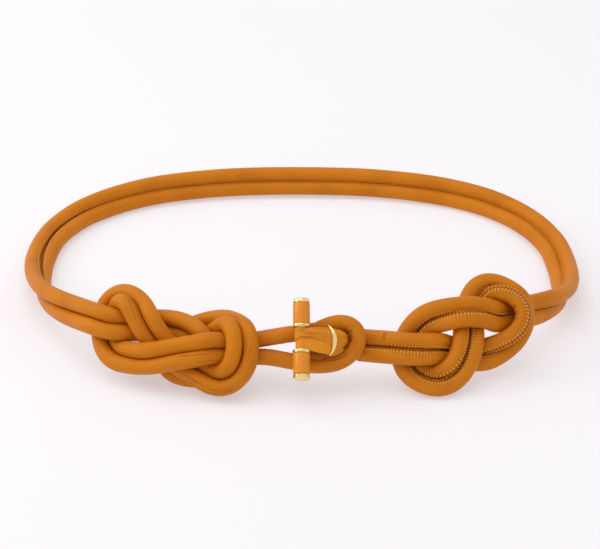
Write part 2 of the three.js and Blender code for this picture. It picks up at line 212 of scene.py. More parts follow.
def both_halves():
    """The two halves of the cord side by side, each row with its place and the direction of its seam."""
    rows = [
        [*on_sheet(a, u, o), *off_sheet(a), turn, one + turn, two - turn]
        for a, u, o, turn, one, two in RIGHT_KNOT
    ]
    first_band = len(rows)
    rows += [[x, y, z, 0, 0, 0, turn, seam, seam] for x, y, z, turn, seam in BACK_BAND]
    last_band = len(rows)
    rows += [[*on_sheet(a, u, o), *off_sheet(a), turn, seam, seam] for a, u, o, turn, seam in LEFT_KNOT]
    rows = np.array(rows)
    for i in range(first_band, last_band):
        rows[i, 3:6] = units(np.cross(rows[i + 1, :3] - rows[i - 1, :3], (0, 0, 1)))
    line = through(rows, ROW_STEPS)
    place = line[:, :3]
    ahead = np.concatenate([place[1:], place[-1:]]) - np.concatenate([place[:1], place[:-1]])
    along = units(ahead)
    out = line[:, 3:6]
    out = units(out - (out * along).sum(1)[:, None] * along)
    side = np.cross(out, along)
    turn = np.radians(line[:, 6])[:, None]
    one = np.radians(line[:, 7])[:, None]
    two = np.radians(line[:, 8])[:, None]
    apart = side * np.cos(turn) + out * np.sin(turn)
    front = out * np.cos(turn) - side * np.sin(turn)
    first = np.hstack([place + apart * PAIR_PITCH / 2, front * np.sin(one) - apart * np.cos(one)])
    second = np.hstack([place - apart * PAIR_PITCH / 2, front * np.sin(two) + apart * np.cos(two)])
    return first, second


SETTLE_ROUNDS = 200
SETTLE_RENEW = 20
SETTLE_NEAR = 22
SETTLE_PUSH = 0.4
SETTLE_EASE = 0.06


def settle(line):
    """Presses the line's turns apart until they lie beside and over each other, above the floor."""
    line = line.copy()
    count = len(line)
    pressed = np.zeros(count)
    one, other = np.triu_indices(count, round(1.7 * CORD_RADIUS * 2 / ROUTE_STEP))
    for turn in range(SETTLE_ROUNDS):
        if turn % SETTLE_RENEW == 0:
            near = np.linalg.norm(line[one] - line[other], axis=1) < SETTLE_NEAR
            low, high = one[near], other[near]
        between = line[low] - line[high]
        far = np.linalg.norm(between, axis=1)
        hit = far < LEAST_PITCH
        i, j = low[hit], high[hit]
        push = between[hit] * ((LEAST_PITCH - far[hit]) * SETTLE_PUSH / far[hit])[:, None]
        move = np.zeros_like(line)
        hits = np.zeros(count)
        np.add.at(move, i, push)
        np.add.at(move, j, -push)
        np.add.at(hits, i, 1)
        np.add.at(hits, j, 1)
        move /= np.sqrt(np.maximum(hits, 1))[:, None]
        line += smoothed(move, 2)
        pressed[hits > 0] = 1
        share = pressed.copy()
        share[2:-2] = (pressed[:-4] + pressed[1:-3] + pressed[2:-2] + pressed[3:-1] + pressed[4:]) / 5
        line[1:-1] += SETTLE_EASE * share[1:-1, None] * ((line[:-2] + line[2:]) / 2 - line[1:-1])
        line[:, 2] = np.maximum(line[:, 2], FLOOR_REACH)
    return line


def loop_rows():
    """The toggle loop's rows, with the seam on its inside."""
    rows = []
    for across, up, out in TOGGLE_LOOP:
        here = on_sheet(across, up, out)
        inside = on_sheet(min(across, LOOP_MIDDLE_ACROSS), LOOP_MIDDLE_UP, out)
        to_front = 0.6 * float(step_up(across, 4.0, 20.0)) - 1.2
        rows.append([*here, *units(units(inside - here) + to_front * off_sheet(across))])
    return rows


first, second = both_halves()
keys = np.concatenate([first[::KEPT_STEP], loop_rows(), second[::-1][::KEPT_STEP]])
route = spaced(through(keys, 8), ROUTE_STEP)
route[:, :3] = settle(route[:, :3])
route[:, :3] = smoothed(route[:, :3], 2)
route[:, 3:] = smoothed(route[:, 3:], 6)
rings = through(route, 2)
cord_place = rings[:, :3]
cord_ahead = units(np.gradient(cord_place, axis=0))
cord_seam = rings[:, 3:] - (rings[:, 3:] * cord_ahead).sum(1)[:, None] * cord_ahead
cord_seam = units(cord_seam)
cord_side = np.cross(cord_ahead, cord_seam)
cord_along = np.concatenate([[0], np.cumsum(np.linalg.norm(np.diff(cord_place, axis=0), axis=1))])
cord_bend = smoothed(np.gradient(cord_ahead, axis=0) / np.gradient(cord_along)[:, None], 3)
cord_curl = smoothed(np.linalg.norm(cord_bend, axis=1) * CORD_RADIUS, 12)
FOLD_PITCH = 4.4
FOLD_DEPTH = 0.4
LOOP_FOLD_DEPTH = 0.7
LOOP_INSIDE = 38
LOOP_OUTSIDE = 55


def cord_surface(ring, angle):
    """The radius of the cord at a ring and an angle from its seam, with how much the bend squeezes it."""
    out = cord_seam[ring] * math.cos(angle) + cord_side[ring] * math.sin(angle)
    squeeze = float(np.dot(cord_bend[ring], out)) * CORD_RADIUS
    place = cord_place[ring] + out * CORD_RADIUS
    soft = noise.noise(Vector(place * 0.045)) * 0.08 + noise.noise(Vector(place * 0.16)) * 0.04
    along = cord_along[ring]
    drift = noise.noise(Vector((along * 0.11, angle, 3.7))) * 2.2
    fold = abs(math.sin(math.pi * along / FOLD_PITCH + drift))
    in_loop = 1 - step_up(abs(along - cord_along[-1] / 2), LOOP_INSIDE, LOOP_OUTSIDE)
    deep = step_up(squeeze, 0.24 - 0.3 * in_loop, 0.46 - 0.19 * in_loop)
    swell = (FOLD_DEPTH + LOOP_FOLD_DEPTH * in_loop) * deep * (fold ** 0.7 - 0.75)
    return CORD_RADIUS + soft + swell, out, squeeze


def tube_faces(count, sides):
    """The faces of a tube with that many rings and sides, closed at both ends."""
    faces = []
    for ring in range(count - 1):
        for side in range(sides):
            a = ring * sides + side
            b = ring * sides + (side + 1) % sides
            faces.append((a, b, b + sides, a + sides))
    faces.append(tuple(reversed(range(sides))))
    faces.append(tuple(range((count - 1) * sides, count * sides)))
    return faces


def meshed(name, verts, faces):
    """An object with a smooth mesh of these vertices and faces."""
    mesh = bpy.data.meshes.new(name)
    mesh.from_pydata(verts, [], faces)
    mesh.polygons.foreach_set("use_smooth", [True] * len(mesh.polygons))
    made = bpy.data.objects.new(name, mesh)
    bpy.context.scene.collection.objects.link(made)
    return made


def marked(mesh, name, values):
    """Gives each vertex of a mesh a value that a material reads."""
    mesh.attributes.new(name, "FLOAT", "POINT").data.foreach_set("value", values)


verts = []
lay = []
squeezes = []
curls = []
facing = step_up(cord_seam @ off_sheet(0), 0.1, 0.5)
for ring in range(len(rings)):
    for side in range(CORD_SIDES):
        angle = (side / CORD_SIDES - 0.5) * 2 * math.pi
        radius, out, squeeze = cord_surface(ring, angle)
        verts.append((cord_place[ring] + out * radius) * MM + HOME)
        lay.append((cord_along[ring], math.cos(angle) * CORD_RADIUS, math.sin(angle) * CORD_RADIUS))
        squeezes.append(squeeze)
        curls.append(float(step_up(cord_curl[ring], 0.12, 0.3) * facing[ring]))
leather_cord = meshed("leather_cord_skin", [tuple(v) for v in verts], tube_faces(len(rings), CORD_SIDES))
cord_mesh = leather_cord.data
lay_mark = cord_mesh.attributes.new("lay", "FLOAT_VECTOR", "POINT")
lay_mark.data.foreach_set("vector", (np.array(lay, float) * MM).ravel())
marked(cord_mesh, "squeeze", squeezes)
marked(cord_mesh, "curl", curls)


def calc(tree, operation, *values, clamp=False):
    """One math node. Each value is a number or another node's socket."""
    made = tree.nodes.new("ShaderNodeMath")
    made.operation = operation
    made.use_clamp = clamp
    for place, value in enumerate(values):
        if isinstance(value, (int, float)):
            made.inputs[place].default_value = value
        else:
            tree.links.new(value, made.inputs[place])
    return made.outputs[0]


def rise(tree, value, low, high):
    """A smooth step of a value from low to high."""
    made = tree.nodes.new("ShaderNodeMapRange")
    made.interpolation_type = "SMOOTHSTEP"
    made.inputs["From Min"].default_value = low
    made.inputs["From Max"].default_value = high
    tree.links.new(value, made.inputs["Value"])
    return made.outputs["Result"]


def cloud(tree, vector, scale, detail=2.0, roughness=0.5):
    """A noise texture on a vector."""
    made = tree.nodes.new("ShaderNodeTexNoise")
    made.inputs["Scale"].default_value = scale
    made.inputs["Detail"].default_value = detail
    made.inputs["Roughness"].default_value = roughness
    tree.links.new(vector, made.inputs["Vector"])
    return made.outputs["Fac"]


def stretched(tree, vector, scale):
    """A vector with each of its axes scaled."""
    made = tree.nodes.new("ShaderNodeVectorMath")
    made.operation = "MULTIPLY"
    made.inputs[1].default_value = scale
    tree.links.new(vector, made.inputs[0])
    return made.outputs[0]


def blended(tree, share, low, high):
    """A colour between two, each a colour or a socket."""
    made = tree.nodes.new("ShaderNodeMix")
    made.data_type = "RGBA"
    tree.links.new(share, made.inputs["Factor"])
    for socket, value in (("A", low), ("B", high)):
        target = [i for i in made.inputs if i.name == socket and i.type == "RGBA"][0]
        if isinstance(value, tuple):
            target.default_value = value
        else:
            tree.links.new(value, target)
    return [o for o in made.outputs if o.type == "RGBA"][0]


def creases(tree, vector, detail, width):
    """Fine lines where a noise on a vector crosses its middle: 1 on a line and 0 off it."""
    off_line = calc(tree, "ABSOLUTE", calc(tree, "SUBTRACT", cloud(tree, vector, 1.0, detail), 0.5))
    return calc(tree, "SUBTRACT", 1.0, rise(tree, off_line, 0.0, width))


def marked_value(tree, name, output="Fac"):
    """A value that the mesh's vertices carry."""
    made = tree.nodes.new("ShaderNodeAttribute")
    made.attribute_name = name
    return made.outputs[output]


def shader_group(name, inputs, outputs):
    """A shader node group with named inputs and outputs, still empty between them."""
    made = bpy.data.node_groups.new(name, "ShaderNodeTree")
    for side, sockets in (("INPUT", inputs), ("OUTPUT", outputs)):
        for socket, kind in sockets.items():
            made.interface.new_socket(name=socket, in_out=side, socket_type="NodeSocket" + kind)
    return made, made.nodes.new("NodeGroupInput"), made.nodes.new("NodeGroupOutput")


def new_material(name):
    """A new material with its node tree and its shader."""
    made = bpy.data.materials.new(name)
    made.use_nodes = True
    return made, made.node_tree, made.node_tree.nodes["Principled BSDF"]


def bumped(tree, shader, distance):
    """The Height input of a bump of that depth in metres on a shader."""
    bump = tree.nodes.new("ShaderNodeBump")
    bump.inputs["Distance"].default_value = distance
    tree.links.new(bump.outputs["Normal"], shader.inputs["Normal"])
    return bump.inputs["Height"]


LEATHER_COLOUR = (0.59, 0.185, 0.004, 1)
LEATHER_DEEP = (0.475, 0.138, 0.003, 1)
# The next colour is the dark of painted shade in creases and folds, and also the dark of the seam line and of
# scratches.
LEATHER_SHADE_AND_MARKS = (0.11, 0.022, 0.002, 1)
LEATHER_IOR = 1.45
LEATHER_SHINE = 0.18
LEATHER_BUMP = 0.001
CORD_GRAIN = 0.03
leather_skin, skin_in, skin_out = shader_group(
    "faux_leather_skin",
    {"Colour": "Color", "Deep Colour": "Color", "Grain Depth": "Float"},
    {"Colour": "Color", "Roughness": "Float", "Height": "Float"},
)
skin_place = leather_skin.nodes.new("ShaderNodeTexCoord").outputs["Object"]
skin_patch = cloud(leather_skin, skin_place, 48, 3)
skin_fine = cloud(leather_skin, skin_place, 900, 2)
skin_share = calc(leather_skin, "MULTIPLY", rise(leather_skin, skin_patch, 0.35, 0.72), 0.55)
skin_specks = calc(leather_skin, "MULTIPLY", rise(leather_skin, skin_fine, 0.5, 0.8), 0.25)
skin_share = calc(leather_skin, "ADD", skin_share, skin_specks)
leather_skin.links.new(
    blended(leather_skin, skin_share, skin_in.outputs["Colour"], skin_in.outputs["Deep Colour"]),
    skin_out.inputs["Colour"],
)
pebbles = leather_skin.nodes.new("ShaderNodeTexVoronoi")
pebbles.feature = "SMOOTH_F1"
pebbles.inputs["Scale"].default_value = 1500
leather_skin.links.new(skin_place, pebbles.inputs["Vector"])
skin_height = calc(leather_skin, "SUBTRACT", 0.6, pebbles.outputs["Distance"])
skin_height = calc(leather_skin, "MULTIPLY", skin_height, skin_in.outputs["Grain Depth"])
skin_swell = calc(leather_skin, "MULTIPLY", cloud(leather_skin, skin_place, 260, 2), 0.05)
leather_skin.links.new(calc(leather_skin, "ADD", skin_height, skin_swell), skin_out.inputs["Height"])
skin_rough = calc(leather_skin, "MULTIPLY_ADD", skin_fine, 0.14, 0.36)
skin_rough = calc(leather_skin, "MULTIPLY_ADD", skin_patch, 0.1, skin_rough)
leather_skin.links.new(skin_rough, skin_out.inputs["Roughness"])


def leather_material(name, colour, deep, grain):
    """A leather material with the skin group placed, its shader and its bump's Height still open."""
    made, tree, shader = new_material(name)
    skin = tree.nodes.new("ShaderNodeGroup")
    skin.node_tree = leather_skin
    skin.inputs["Colour"].default_value = colour
    skin.inputs["Deep Colour"].default_value = deep
    skin.inputs["Grain Depth"].default_value = grain
    tree.links.new(skin.outputs["Roughness"], shader.inputs["Roughness"])
    shader.inputs["IOR"].default_value = LEATHER_IOR
    shader.inputs["Specular IOR Level"].default_value = LEATHER_SHINE
    return made, tree, shader, skin, bumped(tree, shader, LEATHER_BUMP)


cord_leather, tree, shader, skin, bump = leather_material(
    "cord_leather", LEATHER_COLOUR, LEATHER_DEEP, CORD_GRAIN
)
skin_lay = marked_value(tree, "lay", "Vector")
skin_squeeze = marked_value(tree, "squeeze")
skin_curl = marked_value(tree, "curl")
split = tree.nodes.new("ShaderNodeSeparateXYZ")
tree.links.new(skin_lay, split.inputs[0])
along_socket, near_socket, over_socket = split.outputs
# The skin puckers at each stitch, up to pucker_reach radians from the seam, and further where it curls.
seam_angle = calc(tree, "ABSOLUTE", calc(tree, "ARCTAN2", over_socket, near_socket))
pucker_drift = calc(tree, "MULTIPLY", cloud(tree, skin_lay, 120, 2), 2.0)
pucker_phase = calc(tree, "MULTIPLY_ADD", along_socket, math.pi / (STITCH_PITCH * MM), pucker_drift)
pucker_ridge = calc(tree, "ABSOLUTE", calc(tree, "SINE", pucker_phase))
pucker_valley = calc(tree, "POWER", calc(tree, "SUBTRACT", 1.0, pucker_ridge), 1.3)
squeezed = rise(tree, skin_squeeze, 0.02, 0.32)
pucker_reach = calc(tree, "MULTIPLY_ADD", squeezed, 0.7, 0.6)
pucker_reach = calc(tree, "MULTIPLY_ADD", skin_curl, 1.1, pucker_reach)
pucker_share = calc(tree, "SUBTRACT", 1.0, calc(tree, "DIVIDE", seam_angle, pucker_reach), clamp=True)
pucker_share = rise(tree, pucker_share, 0.0, 0.75)
pucker_depth = calc(tree, "MULTIPLY_ADD", squeezed, 0.4, 0.6)
pucker_depth = calc(tree, "MULTIPLY", pucker_share, pucker_depth)
pucker = calc(tree, "MULTIPLY", pucker_valley, pucker_depth)
seam_line = calc(tree, "SUBTRACT", 1.0, rise(tree, seam_angle, 0.02, 0.08))
# Wrinkles cross the cord where a bend squeezes it. Hair lines run along it, in patches of the left knot.
wrinkle = creases(tree, stretched(tree, skin_lay, (330, 60, 60)), 2, 0.07)
wrinkle = calc(tree, "MULTIPLY", wrinkle, rise(tree, skin_squeeze, 0.1, 0.34))
hair = creases(tree, stretched(tree, skin_lay, (11, 260, 260)), 3, 0.016)
hair_patch = rise(tree, cloud(tree, skin_lay, 35, 1), 0.5, 0.6)
hair_far = calc(tree, "ABSOLUTE", calc(tree, "SUBTRACT", along_socket, cord_along[-1] * MM / 2))
hair_here = calc(tree, "SUBTRACT", 1.0, rise(tree, hair_far, 0.3, 0.42))
hair = calc(tree, "MULTIPLY", hair, calc(tree, "MULTIPLY", hair_patch, hair_here))
# Painted shade darkens the pucker valleys and the wrinkles; the seam line and the hair lines are dark marks
# of the skin itself.
dark = calc(tree, "MULTIPLY", pucker, 0.6)
dark = calc(tree, "MAXIMUM", dark, calc(tree, "MULTIPLY", seam_line, 0.8))
dark = calc(tree, "MAXIMUM", dark, calc(tree, "MULTIPLY", wrinkle, 0.55))
dark = calc(tree, "MAXIMUM", dark, calc(tree, "MULTIPLY", hair, 0.5))
tree.links.new(blended(tree, dark, skin.outputs["Colour"], LEATHER_SHADE_AND_MARKS), shader.inputs["Base Color"])
height = calc(tree, "MULTIPLY_ADD", pucker, -0.42, skin.outputs["Height"])
height = calc(tree, "MULTIPLY_ADD", seam_line, -0.5, height)
height = calc(tree, "MULTIPLY_ADD", wrinkle, -0.2, height)
height = calc(tree, "MULTIPLY_ADD", hair, -0.06, height)
tree.links.new(height, bump)
cord_mesh.materials.append(cord_leather)
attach(leather_cord, "root")
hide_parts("leather_cord")

# Seam stitching.
# Two rows of short slanted stitches in leather-coloured thread close the skin of the cord, one row on each
# side of the seam. Each stitch lies across the seam on a small pucker of the skin.
STITCH_ANGLE = math.radians(23)
STITCH_LENGTH = 2.1
STITCH_WIDTH = 0.95
STITCH_HIGH = 0.7
STITCH_SLANT = math.radians(68)
STITCH_MARGIN = 2
bpy.ops.mesh.primitive_uv_sphere_add(segments=6, ring_count=4, radius=0.5)
bead = bpy.context.active_object
bead_verts = np.array([tuple(v.co) for v in bead.data.vertices])
bead_faces = [tuple(p.vertices) for p in bead.data.polygons]
bpy.data.objects.remove(bead)


def at_along(along):
    """The cord's place and directions at a distance from its first end, in millimetres."""
    ring = np.interp(along, cord_along, np.arange(len(rings)))
    low = min(int(ring), len(rings) - 2)
    share = ring - low

    def between(rows):
        return rows[low] * (1 - share) + rows[low + 1] * share

    directions = [units(between(rows)) for rows in (cord_ahead, cord_seam, cord_side)]
    return low, between(cord_place), *directions


def beads_along(name, spots):
    """One mesh of thread beads. Each spot has a place, a length direction, an outward one and three sizes."""
    verts = []
    faces = []
    for place, ahead, out, long, wide, high in spots:
        aside = np.cross(out, ahead)
        start = len(verts)
        shaped = bead_verts[:, 2:3] * ahead * long + bead_verts[:, 1:2] * aside * wide
        shaped = place + shaped + bead_verts[:, 0:1] * out * high
        verts.extend(tuple(v) for v in shaped * MM + HOME)
        faces.extend(tuple(start + i for i in face) for face in bead_faces)
    return meshed(name, verts, faces)


stitch_spots = []
for stitch in range(int((cord_along[-1] - 2 * STITCH_MARGIN) / STITCH_PITCH)):
    along = STITCH_MARGIN + stitch * STITCH_PITCH
    ring, place, ahead, seam, side = at_along(along)
    for row in (-1, 1):
        angle = STITCH_ANGLE * row
        radius, _, _ = cord_surface(ring, angle)
        out = seam * math.cos(angle) + side * math.sin(angle)
        aside = side * math.cos(angle) - seam * math.sin(angle)
        thread = ahead * math.cos(STITCH_SLANT) + aside * math.sin(STITCH_SLANT) * row
        stitch_spots.append((place + out * radius, thread, out, STITCH_LENGTH, STITCH_WIDTH, STITCH_HIGH))
stitching = beads_along("seam_stitching", stitch_spots)
THREAD_COLOUR = (0.88, 0.38, 0.04, 1)
THREAD_DEEP = (0.62, 0.22, 0.012, 1)
THREAD_BUMP = 0.0002


def thread_material(name, colour, deep, roughness):
    """A thread's material, with its fibres in two colours, its tree, its shader and its fibres."""
    made, tree, shader = new_material(name)
    fibre = cloud(tree, tree.nodes.new("ShaderNodeTexCoord").outputs["Object"], 2600, 2)
    tree.links.new(blended(tree, fibre, colour, deep), shader.inputs["Base Color"])
    shader.inputs["Roughness"].default_value = roughness
    return made, tree, shader, fibre


stitch_thread, tree, shader, fibre = thread_material("stitch_thread", THREAD_COLOUR, THREAD_DEEP, 0.6)
tree.links.new(fibre, bumped(tree, shader, THREAD_BUMP))
stitching.data.materials.append(stitch_thread)
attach(stitching, "root")

# Tack stitches.
# Two short bars of dark thread across the upper cord, just right of the toggle's loop, where the cord's end
# is sewn into the strap.
TACK_ACROSS = (46.4, 48.0)
TACK_START = math.radians(-115)
TACK_END = math.radians(-58)
TACK_BEADS = 5
TACK_LENGTH = 1.1
TACK_WIDTH = 0.4
TACK_PROUD = 0.03
TACK_COLOUR = (0.16, 0.04, 0.006, 1)
TACK_DEEP = (0.07, 0.018, 0.004, 1)
FIRST_RUN = 120
tack_spots = []
for across in TACK_ACROSS:
    ring = int(np.argmin(np.abs(cord_place[:FIRST_RUN, 0] - across)))
    for bead_place in range(TACK_BEADS):
        angle = TACK_START + (TACK_END - TACK_START) * (bead_place + 0.5) / TACK_BEADS
        radius, out, _ = cord_surface(ring, angle)
        aside = np.cross(cord_ahead[ring], out)
        place = cord_place[ring] + out * (radius + TACK_PROUD)
        tack_spots.append((place, aside, out, TACK_LENGTH, TACK_WIDTH, TACK_WIDTH))
tacks = beads_along("tack_stitches", tack_spots)
tack_thread, *_ = thread_material("tack_thread", TACK_COLOUR, TACK_DEEP, 0.65)
tacks.data.materials.append(tack_thread)
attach(tacks, "root")

# Toggle bar.
# A turned metal bar, gold plated and polished, with a rounded cap at each end and a collar on each side of
# the strap. It leans with the front of the belt.
BAR_AT = (0.8, -2.9, 8.5)
BAR_TILT = math.radians(7)
CAP_RADIUS = 4.65
SLEEVE_RADIUS = 4.6
COLLAR_RADIUS = 4.95
ROD_RADIUS = 2.6
MIDDLE_RADIUS = 3.1
MIDDLE_END = 6.2
COLLAR_END = 7.9
COLLAR_EDGE = 0.5
SLEEVE_END = 19.6
BAR_END = 22.2
CAP_RIM = 0.25
TOP_EDGE = 1.5
LOW_EDGE = 0.5
EDGE_STEPS = 8
BULGE = 0.05
SMOOTH_ANGLE = math.radians(40)


def sheet_frame(at, tilt=0.0):
    """The front sheet's place and directions at a point, in metres: +X across, +Y up it, +Z out."""
    angle = at[0] / FRONT_RADIUS
    across = Vector((math.cos(angle), math.sin(angle), 0))
    out = Vector(off_sheet(at[0]))
    up = out.cross(across)
    turned = Matrix((across, up, out)).transposed().to_4x4() @ Matrix.Rotation(-tilt, 4, "X")
    place = Vector(on_sheet(*at) * MM + HOME)
    return Matrix.Translation(place) @ turned @ Matrix.Scale(MM, 4)


def pick(*objects):
    """Selects these objects alone, with the first one active."""
    bpy.ops.object.select_all(action="DESELECT")
    for chosen in objects:
        chosen.select_set(True)
    bpy.context.view_layer.objects.active = objects[0]


def turned_piece(name, profile, steps=64):
    """A closed solid of revolution about its own Y axis, from a profile of radius and height."""
    mesh = bpy.data.meshes.new(name)
    mesh.from_pydata([(r, y, 0) for r, y in profile], [(i, i + 1) for i in range(len(profile) - 1)], [])
    made = bpy.data.objects.new(name, mesh)
    bpy.context.scene.collection.objects.link(made)
    pick(made)
    bpy.ops.object.mode_set(mode="EDIT")
    bpy.ops.mesh.select_all(action="SELECT")
    bpy.ops.mesh.spin(steps=steps, angle=2 * math.pi, center=(0, 0, 0), axis=(0, 1, 0))
    bpy.ops.mesh.select_all(action="SELECT")
    bpy.ops.mesh.remove_doubles(threshold=0.001)
    bpy.ops.mesh.normals_make_consistent(inside=False)
    bpy.ops.object.mode_set(mode="OBJECT")
    return made


def rounded_edge(radius, end, edge, steps):
    """The profile of an outer edge, rounded from its side at that radius over to its face at the end."""
    angles = [math.pi / 2 * i / steps for i in range(steps + 1)]
    return [(radius - edge + edge * math.cos(a), end - edge + edge * math.sin(a)) for a in angles]


def rounded(radius, low, high, edge, steps=5):
    """The profile of a turned band whose two outer edges are rounded."""
    angles = [math.pi / 2 * i / steps for i in range(steps + 1)]
    rows = [(radius - edge + edge * math.sin(a), low + edge - edge * math.cos(a)) for a in angles]
    return rows + rounded_edge(radius, high, edge, steps)


def finished(made, frame_of, node):
    """Puts a piece in its place, and ties it to the belt in place of its CAD node."""
    made.data.transform(frame_of)
    made.data.update()
    pick(made)
    bpy.ops.object.shade_smooth_by_angle(angle=SMOOTH_ANGLE)
    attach(made, "root")
    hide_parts(node)


def bar_half(edge):
    """The profile of one half of the bar, from its middle to a cap whose outer edge is rounded."""
    rows = [(MIDDLE_RADIUS, MIDDLE_END)] + rounded(COLLAR_RADIUS, MIDDLE_END, COLLAR_END, COLLAR_EDGE)
    rows += [(ROD_RADIUS, COLLAR_END), (ROD_RADIUS, SLEEVE_END), (CAP_RADIUS - CAP_RIM, SLEEVE_END)]
    rows.append((CAP_RADIUS, SLEEVE_END + CAP_RIM))
    return rows + rounded_edge(CAP_RADIUS, BAR_END, edge, EDGE_STEPS) + [(0, BAR_END + BULGE)]


bar_profile = [(r, -y) for r, y in reversed(bar_half(LOW_EDGE))] + bar_half(TOP_EDGE)
bar = turned_piece("gold_toggle_bar", bar_profile)
bar_frame = sheet_frame(BAR_AT, BAR_TILT)
GOLD_COLOUR = (0.96, 0.76, 0.36, 1)
GOLD_DEEP = (0.82, 0.58, 0.21, 1)
GOLD_BUMP = 0.001
gold_wear, wear_in, wear_out = shader_group(
    "gold_plate_wear",
    {"Colour": "Color", "Deep Colour": "Color"},
    {"Colour": "Color", "Roughness": "Float", "Height": "Float"},
)
wear_place = gold_wear.nodes.new("ShaderNodeTexCoord").outputs["Object"]
wear_patch = cloud(gold_wear, wear_place, 220, 3)
wear_share = rise(gold_wear, wear_patch, 0.45, 0.8)
wear_scratch = cloud(gold_wear, stretched(gold_wear, wear_place, (900, 900, 6500)), 1.0, 2)
gold_wear.links.new(
    blended(gold_wear, wear_share, wear_in.outputs["Colour"], wear_in.outputs["Deep Colour"]),
    wear_out.inputs["Colour"],
)
gold_wear.links.new(calc(gold_wear, "MULTIPLY_ADD", wear_patch, 0.14, 0.05), wear_out.inputs["Roughness"])
gold_wear.links.new(calc(gold_wear, "MULTIPLY", wear_scratch, 0.012), wear_out.inputs["Height"])


def gold_material(name):
    """Polished gold plate with its wear group placed."""
    made, tree, shader = new_material(name)
    wear = tree.nodes.new("ShaderNodeGroup")
    wear.node_tree = gold_wear
    wear.inputs["Colour"].default_value = GOLD_COLOUR
    wear.inputs["Deep Colour"].default_value = GOLD_DEEP
    tree.links.new(wear.outputs["Colour"], shader.inputs["Base Color"])
    tree.links.new(wear.outputs["Roughness"], shader.inputs["Roughness"])
    shader.inputs["Metallic"].default_value = 1.0
    tree.links.new(wear.outputs["Height"], bumped(tree, shader, GOLD_BUMP))
    return made


bar.data.materials.append(gold_material("toggle_gold"))
finished(bar, bar_frame, "toggle_bar")

# Toggle sleeves.
# Two short tubes of smooth leather pulled over the bar, one between each cap and its collar, with the
# leather's edges turned in at both ends.
SLEEVE_GAP = 0.12
SLEEVE_HOLE = 2.9
SLEEVE_EDGE = 0.45
SLEEVE_GRAIN = 0.02
# The sleeves are coloured lighter than the cord, a painted highlight for the sheen along them.
SLEEVE_COLOUR = (0.74, 0.25, 0.008, 1)
sleeve_leather, tree, shader, skin, bump = leather_material(
    "sleeve_leather", SLEEVE_COLOUR, LEATHER_COLOUR, SLEEVE_GRAIN
)
tree.links.new(skin.outputs["Colour"], shader.inputs["Base Color"])
tree.links.new(skin.outputs["Height"], bump)
shader.inputs["Coat Weight"].default_value = 0.5
shader.inputs["Coat Roughness"].default_value = 0.12
for name, node, side in (
    ("upper_sleeve_leather", "upper_toggle_sleeve", 1),
    ("lower_sleeve_leather", "lower_toggle_sleeve", -1),
):
    low = COLLAR_END + SLEEVE_GAP
    high = SLEEVE_END - SLEEVE_GAP
    outside = rounded(SLEEVE_RADIUS, low, high, SLEEVE_EDGE)
    profile = [(SLEEVE_HOLE, low)] + outside + [(SLEEVE_HOLE, high), (SLEEVE_HOLE, low)]
    sleeve = turned_piece(name, [(r, y * side) for r, y in profile])
    sleeve.data.materials.append(sleeve_leather)
    finished(sleeve, bar_frame, node)

# Toggle strap.
# One leather strap folded round the middle of the bar. Its upper half is bunched into creases over the
# smooth lower half. The keeper holds both, and the gathered rest goes through the loop to the cord's ends.

# The strap's path comes from behind, meets the bar at BEHIND_SHARE of its length and leaves at FRONT_SHARE.
# Its places are across and out from the bar's axis.
WRAP_RADIUS = 3.25
WRAP_START = math.radians(-62)
WRAP_END = math.radians(-298)
BEHIND_SHARE = 0.3
FRONT_SHARE = 0.7
BEHIND_ACROSS = 14.2
BEHIND_OUT = -4.2
FRONT_ACROSS = 15.6
FRONT_OUT = 0.4
BEHIND_DROP = 2.8
LAYER_LAP = 1.6
SHADED_BELOW = -1.5
STRAP_THICK = 0.95
STRAP_GRAIN = 0.035
# Columns: across from the bar's axis, lower edge, lower edge of the bunched layer, upper edge.
STRAP_EDGES = np.array([
    (-5, -5.8, -1.7, 5.9), (-3, -5.8, -1.0, 5.9), (-0.5, -5.9, 0.4, 5.9), (2.4, -6.3, 0.5, 5.9),
    (5.9, -7.1, 0.3, 5.9), (8.6, -7.7, -0.3, 6.0), (11.5, -8.2, -0.9, 6.1), (15, -8.5, -1.7, 6.2),
])
STRAP_COLOUR = (0.73, 0.262, 0.014, 1)
STRAP_DEEP = (0.61, 0.2, 0.008, 1)
strap_leather, tree, shader, skin, bump = leather_material(
    "strap_leather", STRAP_COLOUR, STRAP_DEEP, STRAP_GRAIN
)
strap_place = tree.nodes.new("ShaderNodeTexCoord").outputs["Object"]
creased = marked_value(tree, "creased")
strap_fold = creases(tree, stretched(tree, strap_place, (90, 300, 300)), 1, 0.05)
strap_fold = calc(tree, "MULTIPLY", strap_fold, creased)
# Painted shade darkens the fold lines and the run behind the bar that is marked as shaded; the bunched parts
# are also coloured a little darker all over.
strap_dark = calc(tree, "MULTIPLY_ADD", creased, 0.12, calc(tree, "MULTIPLY", strap_fold, 0.12))
strap_dark = calc(tree, "MULTIPLY_ADD", marked_value(tree, "shaded"), 0.6, strap_dark)
tree.links.new(blended(tree, strap_dark, skin.outputs["Colour"], LEATHER_SHADE_AND_MARKS), shader.inputs["Base Color"])
tree.links.new(calc(tree, "MULTIPLY_ADD", strap_fold, -0.08, skin.outputs["Height"]), bump)


def strip(name, rows, columns, shape, thick, how_creased):
    """A leather strip with a wall: shape gives the place of each share of its length and width."""
    verts = [tuple(shape(i / rows, j / columns)) for i in range(rows + 1) for j in range(columns + 1)]
    faces = []
    for i in range(rows):
        for j in range(columns):
            a = i * (columns + 1) + j
            faces.append((a, a + 1, a + columns + 2, a + columns + 1))
    made = meshed(name, verts, faces)
    pick(made)
    wall = made.modifiers.new("wall", "SOLIDIFY")
    wall.thickness = thick
    wall.offset = 1.0
    bpy.ops.object.modifier_apply(modifier="wall")
    edge = made.modifiers.new("edge", "BEVEL")
    edge.width = thick * 0.3
    edge.segments = 2
    edge.limit_method = "ANGLE"
    edge.angle_limit = math.radians(50)
    bpy.ops.object.modifier_apply(modifier="edge")
    marked(made.data, "creased", [how_creased] * len(made.data.vertices))
    return made


